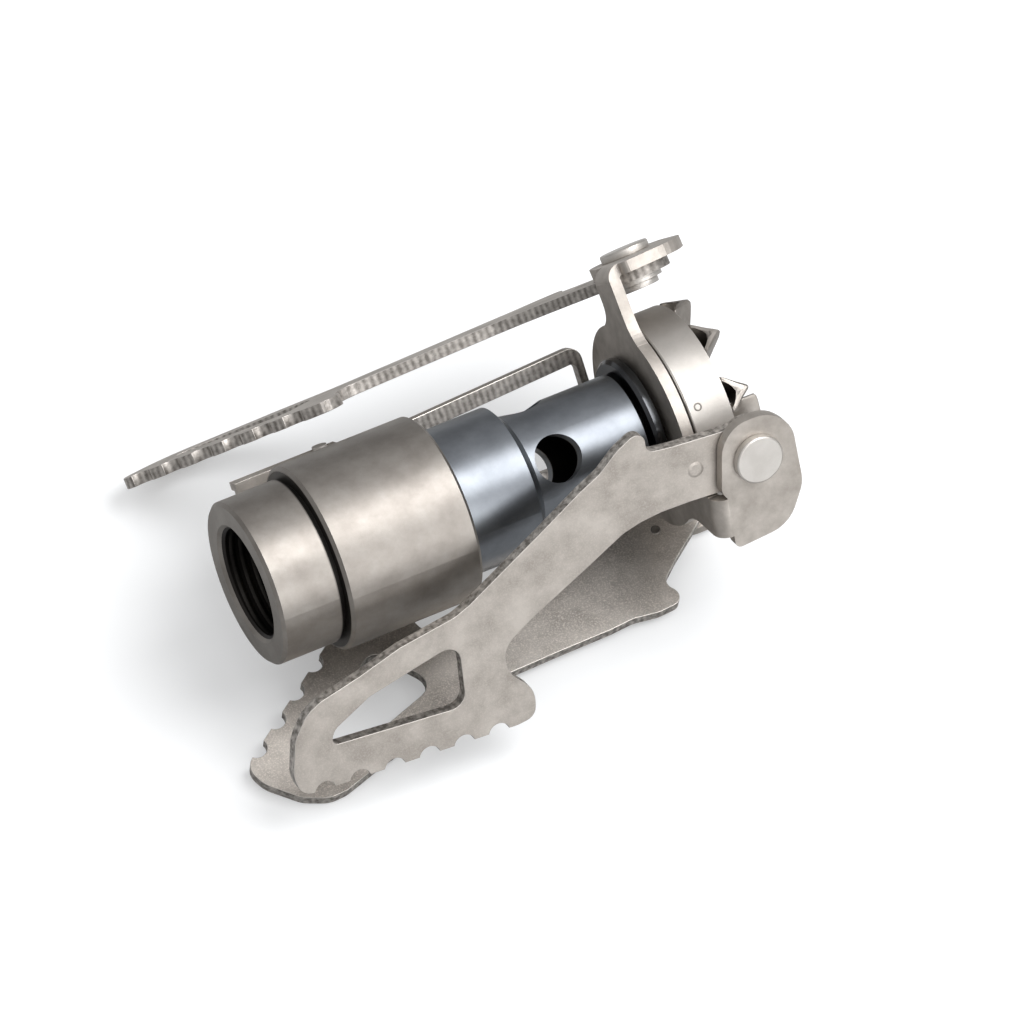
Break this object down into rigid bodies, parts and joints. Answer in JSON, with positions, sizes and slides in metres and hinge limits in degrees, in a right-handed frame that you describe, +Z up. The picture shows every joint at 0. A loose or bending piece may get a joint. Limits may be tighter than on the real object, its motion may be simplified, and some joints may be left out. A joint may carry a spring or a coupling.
{
  "type": "folding canister-top gas burner",
  "caption": "Folding gas burner: threaded canister collar and valve body, dark mixing tube, slotted burner head, riveted swing-out pot supports with toothed edges, folding valve handle.",
  "frame": {"origin": "on the burner axis where the canister thread begins, just inside the collar's mouth", "axes": "+X along the burner axis from the collar's mouth to the burner head, +Z up as the folded stove lies on its side"},
  "size_m": [0.053, 0.0436, 0.029],
  "materials": {
    "anodised_body": "matte champagne anodised",
    "blued_tube": "dark blue-black, glossy",
    "sheet_steel": "bead blasted",
    "bright_cup": "satin",
    "rivet_steel": "satin",
    "brass": "turned",
    "rubber": "matte"
  },
  "bodies": {
    "burner": {"valve_body": "anodised_body", "probe_pin": "brass", "canister_seal": "rubber", "inlet_filter": "brass", "jet": "brass", "mixing_tube": "blued_tube", "neck_ring": "blued_tube", "bracket": "sheet_steel", "burner_cup": "bright_cup", "burner_cap": "bright_cup", "rivet_1": "rivet_steel", "rivet_2": "rivet_steel", "rivet_3": "rivet_steel", "washer_1": "rivet_steel", "washer_2": "rivet_steel", "washer_3": "rivet_steel", "gland_nut": "brass", "spindle_seal": "rubber"},
    "support_1": {"arm_1": "sheet_steel"},
    "support_2": {"arm_2": "sheet_steel"},
    "support_3": {"arm_3": "sheet_steel"},
    "spindle": {"valve_spindle": "rivet_steel", "handle_yoke": "sheet_steel", "handle_pin": "rivet_steel"},
    "handle": {"handle": "sheet_steel"}
  },
  "joints": [
    {"name": "support_1_swing", "type": "hinge", "parent": "burner", "child": "support_1", "pos_m": [0.044, -0.01053, 0.00593], "axis": [0, -0.9225, 0.3859], "range_deg": [-268, 0]},
    {"name": "support_2_swing", "type": "hinge", "parent": "burner", "child": "support_2", "pos_m": [0.04401, 0.01123, 0.00678], "axis": [-0.0419, 0.7948, 0.6055], "range_deg": [-224.5, 43.5]},
    {"name": "support_3_swing", "type": "hinge", "parent": "burner", "child": "support_3", "pos_m": [0.044, 0.00013, -0.01208], "axis": [0, 0.1271, -0.9919], "range_deg": [-238, 30]},
    {"name": "valve_turn", "type": "hinge", "parent": "burner", "child": "spindle", "pos_m": [0.00905, 0.00588, -0.00543], "axis": [0, 0.7349, -0.6782], "range_deg": [-4, 3]},
    {"name": "handle_fold", "type": "hinge", "parent": "spindle", "child": "handle", "pos_m": [0.01285, 0.00778, -0.00599], "axis": [0, -0.6782, -0.7349], "range_deg": [-90, 0]}
  ]
}
